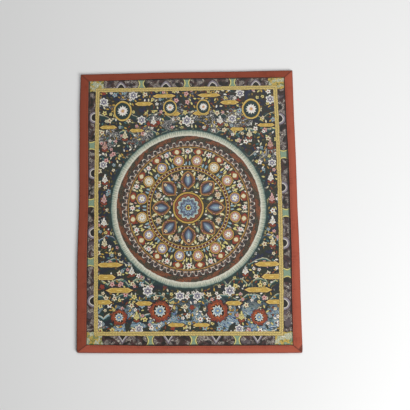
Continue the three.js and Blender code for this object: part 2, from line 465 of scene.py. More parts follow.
@dataclass
class PaintedSheet:
    """The canvas: one sheet, held up by the binding round its edge and resting over its middle."""

    lines: dict[Side, SideLine]
    thickness: float = 1.4 * MM
    raised: float = 1.4 * MM
    edge_share: float = 0.22
    sink_share: float = 1.15
    sink_length: float = 105 * MM
    cockle: float = 0.12 * MM
    racking: tuple[float, float] = (232.0, 180.0)
    map_face: float = 0.775
    map_gap: float = 0.01
    columns: int = 110
    rows: int = 141

    def edge(self, side: Side, share: np.ndarray) -> np.ndarray:
        """Points of the sheet's edge, inside the fold of one side's binding."""
        line = self.lines[side]
        return line.place(share, self.edge_share * line.width(share))

    def spread(self, across: np.ndarray, up: np.ndarray) -> np.ndarray:
        """Points of the sheet by shares of its width and height.

        A blend between the four edges: lower to upper, plus left to right, less the blend
        between the four corners.

        Args:
            across: shares of the sheet's width, 0 to 1.
            up: shares of its height, 0 to 1.

        Returns:
            The points, (..., 2), in metres.
        """
        low, high = self.edge(Side.BOTTOM, across), self.edge(Side.TOP, 1 - across)
        left, right = self.edge(Side.LEFT, 1 - up), self.edge(Side.RIGHT, up)
        a, u = across[..., None], up[..., None]
        ends = np.array([0.0, 1.0])
        lower, upper = self.edge(Side.BOTTOM, ends), self.edge(Side.TOP, ends)[::-1]
        between_low = lower[0] * (1 - a) + lower[1] * a
        between_high = upper[0] * (1 - a) + upper[1] * a
        corners = between_low * (1 - u) + between_high * u
        return low * (1 - u) + high * u + left * (1 - a) + right * a - corners

    def sunk(self, across: np.ndarray, up: np.ndarray) -> np.ndarray:
        """0 where the binding holds the sheet up and 1 where it rests: a product over the sides.

        Args:
            across: shares of the sheet's width, 0 to 1.
            up: shares of its height, 0 to 1.

        Returns:
            How far down each point is, 0 to 1.
        """
        width, height = self.lines[Side.BOTTOM].length, self.lines[Side.RIGHT].length
        reach = {
            Side.BOTTOM: (across, up * height), Side.TOP: (1 - across, (1 - up) * height),
            Side.LEFT: (1 - up, across * width), Side.RIGHT: (up, (1 - across) * width),
        }
        share = np.ones_like(across)
        for side, (at, distance) in reach.items():
            start = (self.sink_share - self.edge_share) * self.lines[side].width(at)
            share = share * smoothstep(distance, start, start + self.sink_length)
        return share

    def wave(self, place: np.ndarray) -> np.ndarray:
        """Two seeded ripples that cross on the slant, each from -1 to 1, added up.

        Args:
            place: points of the sheet, (..., 2), in metres.

        Returns:
            From -2 to 2 at each point.
        """
        x, y = place[..., 0], place[..., 1]
        sideways = ripple(x + 0.35 * y, 3, (0.142, 0.093, 0.061))
        return sideways + ripple(y - 0.2 * x, 4, (0.171, 0.104, 0.067))

    def make(self) -> bpy.types.Object:
        """Makes the closed sheet: its face, its back, and the cut edge between them.

        Returns:
            The sheet, with its places on the painting and its flat map.
        """
        up, across = np.meshgrid(np.linspace(0, 1, self.rows), np.linspace(0, 1, self.columns),
                                 indexing="ij")
        place = self.spread(across, up)
        sunk = self.sunk(across, up)
        base = self.raised * (1 - sunk) + self.cockle * (1 + self.wave(place) / 2) * sunk
        face = np.concatenate([place, (base + self.thickness)[..., None]], axis=-1).reshape(-1, 3)
        back = np.concatenate([place, base[..., None]], axis=-1).reshape(-1, 3)
        quads = grid_faces(self.rows, self.columns)
        count = self.rows * self.columns
        number = np.arange(count).reshape(self.rows, self.columns)
        ring = np.concatenate([number[0, :-1], number[:-1, -1], number[-1, :0:-1], number[:0:-1, 0]])
        after = np.roll(ring, -1)
        rim = np.stack([ring + count, after + count, after, ring], axis=1)
        faces = np.concatenate([quads, quads[:, ::-1] + count, rim])
        piece = new_piece("painted_sheet", np.concatenate([face, back]), faces)
        hidden = (np.arange(len(faces)) >= len(quads)).astype(np.int32)
        piece.data.polygons.foreach_set("material_index", hidden)
        x, y = np.concatenate([place, place]).reshape(-1, 2).T / MM
        set_attribute(piece, "picture_x", x + y / self.racking[0])
        set_attribute(piece, "picture_y", y + x / self.racking[1])
        self.spread_map(piece, across, up, quads, rim)
        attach(piece, "root")
        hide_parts("painted_canvas")
        return piece

    def spread_map(self, piece: bpy.types.Object, across: np.ndarray, up: np.ndarray,
                   quads: np.ndarray, rim: np.ndarray) -> None:
        """Lays the sheet out flat in a square map: the face large, the back and the rim beside it.

        Args:
            piece: the sheet.
            across, up: shares of width and height of each vertex of the face.
            quads: faces of the painted side.
            rim: faces of the cut edge, in order round the sheet.
        """
        face = np.stack([self.map_face * across.ravel(), up.ravel()], axis=-1)
        beside = 1 - self.map_face - 2 * self.map_gap
        back = face * (beside / self.map_face) + [self.map_face + self.map_gap, 0]
        places = np.concatenate([face, back])[np.concatenate([quads, quads[:, ::-1] + len(face)])]
        length = beside / len(rim)
        step = np.arange(len(rim)) * beside / len(rim) + self.map_face + self.map_gap
        low = back[:, 1].max() + self.map_gap
        high = low + beside / 4
        edge = np.stack([
            np.stack([step, step + length, step + length, step], axis=1),
            np.broadcast_to([low, low, high, high], (len(rim), 4)),
        ], axis=-1)
        layer = piece.data.uv_layers.new(name="OFBake")
        layer.data.foreach_set("uv", np.concatenate([places, edge]).astype(np.float32).ravel())


@dataclass
class Studio:
    """Pale floor, one large soft light from the lower right, and the camera."""

    eye: tuple[float, float, float] = (65.39, -120.11, 926.29)
    aim: tuple[float, float, float] = (29.39, 4.99, 0.0)
    roll: float = 0.59
    lens: float = 50.0
    sensor: float = 36.0
    floor_size: float = 14.0
    sky: float = 0.16

    def camera(self) -> None:
        """Places the camera at its eye, looking at its aim, turned by its roll."""
        data = bpy.data.cameras.new("camera")
        data.lens, data.sensor_width, data.clip_start = self.lens, self.sensor, 0.01
        eye, aim = Vector(self.eye) * MM, Vector(self.aim) * MM
        forward = (aim - eye).normalized()
        right = forward.cross(Vector((0, 1, 0))).normalized()
        right = Matrix.Rotation(math.radians(self.roll), 3, forward) @ right
        camera = new_object("camera", data)
        turn = Matrix((right, right.cross(forward), -forward)).transposed()
        camera.matrix_world = Matrix.Translation(eye) @ turn.to_4x4()
        bpy.context.scene.camera = camera

    def lamp(self, name: str, place: tuple[float, float, float], size: float, power: float) -> None:
        """Hangs one round soft light that faces the panel.

        Args:
            name: the light's name.
            place: its middle, in metres.
            size: its diameter, in metres.
            power: its power, in watts.
        """
        data = bpy.data.lights.new(name, "AREA")
        data.shape, data.size, data.energy = "DISK", size, power
        light = new_object(name, data)
        light.location = place
        light.rotation_euler = Vector(place).to_track_quat("Z", "Y").to_euler()

    def light(self) -> None:
        """Hangs the two lights and sets an even pale sky."""
        self.lamp("key", (1.3, -1.0, 1.0), size=0.9, power=35.0)
        self.lamp("fill", (0.4, 0.8, 1.5), size=1.5, power=14.6)
        world = bpy.data.worlds.new("sky")
        world.use_nodes = True
        background = world.node_tree.nodes["Background"]
        background.inputs["Color"].default_value = (0.97, 0.985, 1.0, 1.0)
        background.inputs["Strength"].default_value = self.sky
        bpy.context.scene.world = world
        bpy.context.scene.view_settings.view_transform = "Standard"

    def floor(self) -> None:
        """Lays a plain pale floor."""
        half = self.floor_size / 2
        corners = np.array([[-half, -half, 0], [half, -half, 0], [half, half, 0], [-half, half, 0]])
        floor = new_piece("floor", corners, np.array([[0, 1, 2, 3]]))
        material, _ = new_material("floor", {
            "Base Color": (0.78, 0.78, 0.775, 1.0), "Roughness": 0.95, "Specular IOR Level": 0.2})
        floor.data.materials.append(material)


class Value:
    """What one output of a shader node gives: a number, vector or colour to reckon with."""

    def __init__(self, sheet: "Sheet", socket: bpy.types.NodeSocket) -> None:
        """Wraps one output socket of a node on a sheet."""
        self.sheet, self.socket = sheet, socket

    def __add__(self, other: "Value | float") -> "Value":
        """Sum."""
        return self.sheet.math("ADD", self, other)

    def __mul__(self, other: "Value | float") -> "Value":
        """Product."""
        return self.sheet.math("MULTIPLY", self, other)

    def __sub__(self, other: "Value | float") -> "Value":
        """Difference."""
        return self.sheet.math("SUBTRACT", self, other)

    def __rsub__(self, other: float) -> "Value":
        """Number less this value."""
        return self.sheet.math("SUBTRACT", other, self)

    def __truediv__(self, other: "Value | float") -> "Value":
        """Quotient."""
        return self.sheet.math("DIVIDE", self, other)

    def __abs__(self) -> "Value":
        """Size without its sign."""
        return self.sheet.math("ABSOLUTE", self)

    def times(self, factor: "Value | float", plus: "Value | float") -> "Value":
        """This value times a factor, plus another value."""
        return self.sheet.math("MULTIPLY_ADD", self, factor, plus)

    def measured(self, middle: float, size: float) -> "Value":
        """How far this value is past a middle, as a share of a size."""
        return self.times(1 / size, -middle / size)

    def sin(self) -> "Value":
        """Sine."""
        return self.sheet.math("SINE", self)

    def cos(self) -> "Value":
        """Cosine."""
        return self.sheet.math("COSINE", self)

    def whole(self) -> "Value":
        """The whole number at or below this value."""
        return self.sheet.math("FLOOR", self)

    def fold(self, length: float) -> "Value":
        """Goes up from 0 to length and back down again, over and over."""
        return self.sheet.math("PINGPONG", self, length)

    def fall(self, start: float, end: float) -> "Value":
        """1 up to start and 0 from end, in a soft curve between."""
        return self.sheet.range(self, start, end, 1.0, 0.0)

    def rise(self, start: float, end: float) -> "Value":
        """0 up to start and 1 from end, in a soft curve between."""
        return self.sheet.range(self, start, end, 0.0, 1.0)


class Sheet:
    """A tree of nodes, made in the order in which they are reckoned."""

    def __init__(self, tree: bpy.types.NodeTree) -> None:
        """Takes the tree that the nodes go into."""
        self.tree = tree
        self.place: bpy.types.NodeSocket | None = None

    def node(self, kind: str, values: dict[int | str, object], **settings: object) -> bpy.types.Node:
        """Adds a node.

        Args:
            kind: the node's type, without the words Shader Node at its start.
            values: what goes into its sockets, by number or name.
            settings: the node's own options.

        Returns:
            The node.
        """
        node = self.tree.nodes.new(kind if kind.startswith("Node") else f"ShaderNode{kind}")
        for option, choice in settings.items():
            setattr(node, option, choice)
        for place, value in values.items():
            if isinstance(value, Value):
                self.tree.links.new(value.socket, node.inputs[place])
            else:
                node.inputs[place].default_value = value
        return node

    def attribute(self, name: str) -> Value:
        """A number that the piece stores at its vertices."""
        return Value(self, self.node("Attribute", {}, attribute_name=name).outputs["Fac"])

    def math(self, operation: str, *values: "Value | float") -> Value:
        """Result of one arithmetic step."""
        node = self.node("Math", dict(enumerate(values)), operation=operation)
        return Value(self, node.outputs[0])

    def range(self, value: Value, start: float, end: float, low: float, high: float) -> Value:
        """Value carried from start..end to low..high in a soft curve, and held at the ends.

        Args:
            value: what is carried over.
            start, end: where the curve starts and ends.
            low, high: what it gives there.

        Returns:
            The value on the curve.
        """
        values = {0: value, 1: start, 2: end, 3: low, 4: high}
        node = self.node("MapRange", values, interpolation_type="SMOOTHSTEP", clamp=False)
        return Value(self, node.outputs[0])

    def most(self, first: Value, *others: "Value | float") -> Value:
        """Largest of several values.

        Args:
            first: the first value.
            others: the values to set beside it.

        Returns:
            The largest.
        """
        for other in others:
            first = self.math("MAXIMUM", first, other)
        return first

    def least(self, first: Value, *others: "Value | float") -> Value:
        """Smallest of several values.

        Args:
            first: the first value.
            others: the values to set beside it.

        Returns:
            The smallest.
        """
        for other in others:
            first = self.math("MINIMUM", first, other)
        return first

    def length(self, x: Value, y: Value) -> Value:
        """Distance of a point from the origin."""
        return self.math("SQRT", self.math("MULTIPLY_ADD", y, y, x * x))

    def noise(self, size: float, seed: float = 0.0, detail: float = 1.0, twist: float = 0.0,
              stretch: tuple[float, float] = (1.0, 1.0)) -> Value:
        """Cloudy noise from 0 to 1 over the piece.

        Args:
            size: usual width of a patch, in millimetres.
            seed: which noise.
            detail: how many finer noises are added.
            twist: how far the noise is warped by itself.
            stretch: how many times wider and taller the patches are.

        Returns:
            The noise at the point that is shaded.
        """
        if self.place is None:
            self.place = self.node("TexCoord", {}).outputs["Object"]
        mapping = self.node("Mapping", {
            "Vector": Value(self, self.place), "Location": (seed * 37.1, seed * 17.7, 0.0),
            "Scale": (1 / (MM * size * stretch[0]), 1 / (MM * size * stretch[1]), 1.0),
        })
        values = {"Vector": Value(self, mapping.outputs[0]), "Scale": 1.0, "Detail": detail,
                  "Distortion": twist}
        return Value(self, self.node("TexNoise", values, noise_dimensions="2D").outputs["Fac"])

    def chance(self, number: Value) -> Value:
        """A random number from 0 to 1 for each whole number."""
        node = self.node("TexWhiteNoise", {"W": number}, noise_dimensions="1D")
        return Value(self, node.outputs["Value"])

    def mix(self, share: "Value | float", first: "Value | Paint", second: "Value | Paint") -> Value:
        """Colour between two others: the first at share 0, and the second at 1."""
        node = self.node("Mix", {0: share, 6: first, 7: second}, data_type="RGBA")
        return Value(self, node.outputs[2])

    def ramp(self, value: Value, stops: list[tuple[float, Paint | None]], sharp: bool = False
             ) -> tuple[Value, Value]:
        """Colour and cover by a value from 0 to 1.

        Args:
            value: where to read the ramp.
            stops: places and paints in order, with None for no paint.
            sharp: whether each paint reaches unchanged to the next stop.

        Returns:
            The colour, and the cover, 0 where a stop has no paint.
        """
        node = self.node("ValToRGB", {0: value})
        bar = node.color_ramp
        bar.interpolation = "CONSTANT" if sharp else "LINEAR"
        bar.elements.remove(bar.elements[-1])
        last = next(paint for _, paint in stops if paint is not None)
        for number, (place, paint) in enumerate(stops):
            element = bar.elements.new(place) if number else bar.elements[0]
            element.position = place
            last = paint or last
            element.color = (*last[:3], 1.0 if paint else 0.0)
        return Value(self, node.outputs["Color"]), Value(self, node.outputs["Alpha"])


@dataclass(frozen=True)
class Pigments:
    """The paints on the canvas, and how they look on the screen."""

    ink: Paint = srgb(30, 28, 25)
    umber: Paint = srgb(58, 42, 34)
    forest: Paint = srgb(44, 50, 38)
    night: Paint = srgb(34, 40, 48)
    navy: Paint = srgb(38, 44, 72)
    deep_teal: Paint = srgb(34, 58, 56)
    teal: Paint = srgb(78, 120, 118)
    water: Paint = srgb(150, 178, 184)
    sage: Paint = srgb(130, 154, 128)
    leaf: Paint = srgb(120, 122, 62)
    olive: Paint = srgb(88, 82, 46)
    gold: Paint = srgb(196, 160, 74)
    bright_gold: Paint = srgb(222, 194, 112)
    ochre: Paint = srgb(160, 122, 58)
    yellow: Paint = srgb(218, 206, 130)
    cream: Paint = srgb(222, 212, 176)
    white: Paint = srgb(236, 232, 220)
    rose: Paint = srgb(196, 152, 140)
    pink: Paint = srgb(214, 168, 162)
    lilac: Paint = srgb(156, 150, 168)
    blue: Paint = srgb(104, 126, 164)
    brick: Paint = srgb(142, 60, 42)
    rust: Paint = srgb(124, 66, 40)
    orange: Paint = srgb(196, 98, 48)
    maroon: Paint = srgb(88, 44, 44)
    slate: Paint = srgb(66, 68, 74)


PAINT = Pigments()
Band = tuple[float, Paint | None]


class Painting:
    """The face of the canvas while it is being painted: its nodes, and the colour laid so far.

    Places are millimetres on the painting, x to the right and y up from its middle.
    """

    def __init__(self, sheet: Sheet, x: Value, y: Value, ground: "Value | Paint") -> None:
        """Starts with bare ground."""
        self.sheet, self.x, self.y, self.colour = sheet, x, y, ground

    def stage(self, name: str, paint: "Callable[[Painting], None]") -> None:
        """Paints one stage of the picture in a node group of its own.

        Args:
            name: the group's name.
            paint: paints the stage over what the group is handed.
        """
        tree = bpy.data.node_groups.new(name, "ShaderNodeTree")
        for socket in ("x", "y"):
            tree.interface.new_socket(socket, in_out="INPUT", socket_type="NodeSocketFloat")
        tree.interface.new_socket("under", in_out="INPUT", socket_type="NodeSocketColor")
        tree.interface.new_socket("painted", in_out="OUTPUT", socket_type="NodeSocketColor")
        inner = Sheet(tree)
        given = [Value(inner, socket) for socket in inner.node("NodeGroupInput", {}).outputs[:3]]
        art = Painting(inner, *given)
        paint(art)
        inner.node("NodeGroupOutput", {0: art.colour})
        group = self.sheet.node("Group", {}, node_tree=tree)
        for socket, value in zip(group.inputs, (self.x, self.y, self.colour)):
            if isinstance(value, Value):
                self.sheet.tree.links.new(value.socket, socket)
            else:
                socket.default_value = value
        self.colour = Value(self.sheet, group.outputs[0])
        log.info("%s: %d nodes", name, len(tree.nodes))

    def lay(self, cover: Value, paint: Value | Paint) -> None:
        """Lays paint over what is there."""
        self.colour = self.sheet.mix(cover, self.colour, paint)

    def bands(self, shape: Value, bands: list[Band], within: Value | None = None,
              soft: float = 0.03) -> None:
        """Lays a motif's paints one round the other.

        Args:
            shape: 0 at the motif's heart, and growing outwards, at most 1 at its outline.
            bands: where each paint ends, from the heart out, with None for none.
            within: where the motif shows.
            soft: how far two paints run into each other.
        """
        stops: list[tuple[float, Paint | None]] = []
        start = 0.0
        for end, paint in bands:
            stops.append((start, paint))
            stops.append((max(end - soft, start + 0.002), paint))
            start = end
        stops.append((min(start, 1.0), None))
        paint, cover = self.sheet.ramp(shape, stops)
        self.lay(cover if within is None else cover * within, paint)

    def disc(self, x: Value, y: Value, middle: tuple[float, float], size: tuple[float, float]
             ) -> Value:
        """Distance from a middle, as a share of an ellipse's two half sizes."""
        return self.sheet.length(x.measured(middle[0], size[0]), y.measured(middle[1], size[1]))

    def flower(self, x: Value, y: Value, middle: tuple[float, float], size: float, petals: int,
               depth: float, turn: "Value | float" = 0.0, pointed: bool = True) -> Value:
        """Share of the way out to the outline of a flower.

        The distance grows by depth, times how far the angle is from a petal's middle, straight
        for pointed petals and squared for round ones.

        Args:
            x, y: the place.
            middle: the flower's middle.
            size: how far its petals reach.
            petals: how many there are.
            depth: how deep the notches between them go.
            turn: how far it is turned, in petals.
            pointed: whether its petals are pointed.

        Returns:
            0 in its middle and 1 on its outline.
        """
        across, up = x.measured(middle[0], size), y.measured(middle[1], size)
        angle = self.sheet.math("ARCTAN2", up, across)
        from_petal = angle.times(petals / (2 * math.pi), turn).fold(0.5)
        if not pointed:
            from_petal = from_petal * from_petal * 2.0
        notch = from_petal.times(2 * depth, 1.0)
        return self.sheet.length(across, up) * notch

    def leaf(self, x: Value, y: Value, middle: tuple[float, float], size: tuple[float, float]
             ) -> Value:
        """Share of the way out to a pointed leaf's outline: width share plus squared length share.

        Args:
            x, y: the place.
            middle: the leaf's middle.
            size: half its width and half its length.

        Returns:
            0 in its middle and 1 on its outline.
        """
        across = abs(x.measured(middle[0], size[0]))
        up = y.measured(middle[1], size[1])
        return up.times(up, across)

    def scatter(self, pitch: float, seed: float, stray: float = 0.2
                ) -> tuple[Value, Value, Value]:
        """Cells in staggered rows, each with its own middle, turned by its own chance.

        Args:
            pitch: distance between rows and between neighbours in a row.
            seed: which strewing.
            stray: how far a middle strays from its cell's, as a share of the pitch.

        Returns:
            Place across and up from the cell's middle, and a number of chance for each cell.
        """
        chance = self.sheet.chance
        level = self.y.times(1 / pitch, seed * 7.3)
        row = level.whole()
        place = self.x.times(1 / pitch, chance(row + seed))
        column = place.whole()
        cell = row.times(31.7, column)
        angle = chance(cell + seed * 0.37) * 12.57
        sine, cosine = angle.sin(), angle.cos()
        across = cosine.times(-stray, place - column - 0.5) * pitch
        up = sine.times(-stray, level - row - 0.5) * pitch
        turned_up = up.times(cosine, across * sine * -1.0)
        turned_across = across.times(cosine, up * sine)
        return turned_across, turned_up, chance(cell + seed * 0.71 + 5.0)

    def strokes(self, size: float, count: float, twist: float, seed: float = 1.0,
                stretch: tuple[float, float] = (1.0, 1.0)) -> Value:
        """Fine curling brush lines: how far through its step the height of a noise is."""
        return self.sheet.math("FRACT", self.sheet.noise(size, seed, 1.0, twist, stretch) * count)


@dataclass(frozen=True)
class BorderPlace:
    """Where the point that is painted lies on the border.

    beside and above are its distances out past the gold line's uprights and past its level
    lines, and out is the larger. along runs along the side, and upright, right and top are 1 on
    such a side and 0 elsewhere.
    """

    beside: Value
    above: Value
    out: Value
    upright: Value
    right: Value
    top: Value
    along: Value

    def by_side(self, uprights: tuple[float, float], levels: tuple[float, float]) -> Value:
        """Picks the value that belongs to the point's side.

        Args:
            uprights: the left and the right value.
            levels: the lower and the upper value.

        Returns:
            The side's value.
        """
        sheet = self.out.sheet
        upright_value = sheet.range(self.right, 0, 1, *uprights)
        level_value = sheet.range(self.top, 0, 1, *levels)
        return (upright_value - level_value).times(self.upright, level_value)


@dataclass(frozen=True)
class Border:
    """The painted border: a beaded gold line, and a band of clouds, arches and cartouches."""

    line_half: float = 3.3
    rib_half: float = 1.2
    upright_pitch: float = 97.1
    corner_across: float = 10.2
    corner_up: float = 2.5
    left_bow: tuple[float, float, float, float] = (80, 280, 2.0, -150.2)
    right_bow: tuple[float, float, float, float] = (40, 240, -4.5, 152.0)
    levels: tuple[float, float] = (-201.5, 202.7)
    edge_middle: tuple[float, float] = (1.1, 0.3)
    edge_half: tuple[float, float] = (165.6, 220.2)
    cartouche_half: float = 7.0
    arches: tuple[tuple[float, float, float, float], ...] = (
        (155.6, 59.7, -39.1, -149.7), (148.2, 32.6, -58.3, -154.8),
        (-105.2, -32.2, 43.9, 109.5), (-110.2, -33.7, 45.4, 117.8))

    def place(self, art: Painting) -> BorderPlace:
        """Finds where the point lies, from the gold line's bowed uprights and its level lines.

        Args:
            art: the painting.

        Returns:
            The point's place on the border.
        """
        sheet, x, y = art.sheet, art.x, art.y
        low, high = self.levels

        def bowed(middle: float, reach: float, bow: float, place: float) -> Value:
            """Place across of a bowed upright: a parabola of the place up it."""
            share = y.measured(middle, reach)
            return (share * share).times(bow, place)

        left = bowed(*self.left_bow) - x
        right = x - bowed(*self.right_bow)
        beside = sheet.most(left, right)
        above = sheet.most(y - high, low - y)
        out = sheet.most(beside, above)
        upright = sheet.math("GREATER_THAN", beside, above)
        on_right = sheet.math("GREATER_THAN", x, 0.0)
        on_top = sheet.math("GREATER_THAN", y, 0.0)
        along = (y - x).times(upright, x)
        return BorderPlace(beside, above, out, upright, on_right, on_top, along)

    def lay(self, art: Painting) -> None:
        """Paints the border over all that is there."""
        art.stage("painted_border", self.band)

    def band(self, art: Painting) -> None:
        """Paints the band outside the gold line, the dark line at its edge, then the gold line.

        Args:
            art: the painting.
        """
        at = self.place(art)
        in_band = at.out.rise(self.line_half - 0.2, self.line_half + 0.2)
        self.clouds(art, in_band)
        for part in (self.row_of_arches, self.cartouches, self.corners):
            part(art, at, in_band)
        to_edge = art.sheet.most(abs(art.x - self.edge_middle[0]) - self.edge_half[0],
                                 abs(art.y - self.edge_middle[1]) - self.edge_half[1])
        art.lay(to_edge.rise(-2.5, -1.1) * 0.88, srgb(40, 28, 22))
        self.beads(art, at)

    def clouds(self, art: Painting, in_band: Value) -> None:
        """Paints the band's dark ground and its curling clouds.

        Args:
            art: the painting.
            in_band: 1 in the band.
        """
        sheet = art.sheet
        ground, _ = sheet.ramp(sheet.noise(15, 1, 1.5, 0.4), [
            (0.34, PAINT.ink), (0.42, PAINT.umber), (0.5, srgb(76, 50, 50)), (0.56, PAINT.ink),
            (0.66, srgb(88, 76, 80))])
        art.lay(in_band, ground)
        cloudy = sheet.noise(11, 2, 1.0, 0.3).rise(0.46, 0.58)
        art.bands(art.strokes(6.5, 6.0, 1.6, 14.0), [
            (0.18, srgb(224, 216, 200)), (0.36, srgb(156, 144, 138)), (0.46, PAINT.slate),
            (0.62, PAINT.ink), (0.8, srgb(112, 90, 82)), (0.92, PAINT.umber)], in_band * cloudy, 0.08)

    def row_of_arches(self, art: Painting, at: BorderPlace, in_band: Value) -> None:
        """Paints the arches that stand on the gold line: pointed, or round on some sides.

        Args:
            art: the painting.
            at: the point's place on the border.
            in_band: 1 in the band.
        """
        sheet = art.sheet
        places = [at.by_side(four[:2], four[2:]) for four in zip(*self.arches)]
        from_arch = sheet.least(*(abs(at.along - place) for place in places))
        height = at.out - self.line_half
        pointed = from_arch.times(1 / 6.6, height * (1 / 10.0))
        rounded = sheet.length(from_arch * (1 / 8.0), height * (1 / 8.4))
        roundness = sheet.most(at.upright, at.top * 0.6)
        arch = (rounded - pointed).times(roundness, pointed)
        art.bands(arch * 0.5, [
            (0.38, PAINT.ink), (0.41, PAINT.umber), (0.49, srgb(226, 220, 206)),
            (0.66, srgb(134, 125, 136)), (0.74, PAINT.umber)], in_band, 0.05)

    def cartouches(self, art: Painting, at: BorderPlace, in_band: Value) -> None:
        """Paints three green cartouches with flared ends on each side.

        Args:
            art: the painting.
            at: the point's place on the border.
            in_band: 1 in the band.
        """
        sheet = art.sheet
        pitch = at.by_side((self.upright_pitch,) * 2, (69.25, 77.0))
        from_middle = at.along - at.by_side((10.0, -9.2), (8.5, 2.0))
        nearest = sheet.math("ROUND", from_middle / pitch)
        nearest = sheet.least(sheet.most(nearest, -1.0), 1.0)
        from_cartouche = abs(from_middle - nearest * pitch)
        across = (at.out - at.by_side((9.0, 9.0), (10.5, 10.2))) * (1 / self.cartouche_half)
        flare = across * across
        reach = from_cartouche - flare * 3.0 - at.by_side((8.0, 8.0), (5.6, 5.6))
        art.bands(reach.rise(-14.0, 2.0), [
            (0.70, PAINT.sage), (0.74, PAINT.leaf), (0.865, PAINT.yellow), (0.875, PAINT.leaf),
            (0.94, PAINT.ink)], in_band, 0.015)

    def corners(self, art: Painting, at: BorderPlace, in_band: Value) -> None:
        """Paints the leafy corner pieces with their wavy edge and pale curls.

        Args:
            art: the painting.
            at: the point's place on the border.
            in_band: 1 in the band.
        """
        sheet = art.sheet
        into_corner = sheet.least(at.beside + self.corner_across, at.above + self.corner_up)
        wavy = into_corner + sheet.noise(6.0, 3) * 5.0 - 2.5
        cover = in_band * wavy.rise(-0.2, 0.2)
        art.lay(in_band * wavy.rise(-1.2, -0.9), PAINT.ink)
        leafy, _ = sheet.ramp(sheet.noise(7.0, 4, 1.0, 0.5), [
            (0.32, PAINT.leaf), (0.42, PAINT.gold), (0.6, srgb(186, 166, 84)), (0.66, PAINT.leaf),
            (0.7, PAINT.sage)])
        art.lay(cover, leafy)
        curls = cover * sheet.noise(9.0, 15, 1.0).rise(0.47, 0.53)
        art.bands(art.strokes(6.0, 5.0, 1.4), [
            (0.2, PAINT.white), (0.4, PAINT.sage), (0.5, PAINT.leaf), (0.7, PAINT.cream),
            (0.9, PAINT.sage)], curls, 0.06)

    def beads(self, art: Painting, at: BorderPlace) -> None:
        """Paints the gold line: two ribbed cords with a dull line between them.

        Args:
            art: the painting.
            at: the point's place on the border.
        """
        aside = abs(at.out)
        art.lay(aside.fall(self.line_half, self.line_half + 0.5), PAINT.umber)
        slanted = aside.times(0.55, at.along)
        ribs, _ = art.sheet.ramp(slanted.fold(self.rib_half) * (1 / self.rib_half), [
            (0.0, srgb(118, 96, 46)), (0.3, srgb(190, 164, 86)), (0.75, srgb(228, 204, 130))])
        art.lay(aside.fall(self.line_half - 0.35, self.line_half + 0.05), ribs)
        art.lay(aside.fall(0.3, 0.75) * 0.75, srgb(136, 124, 78))


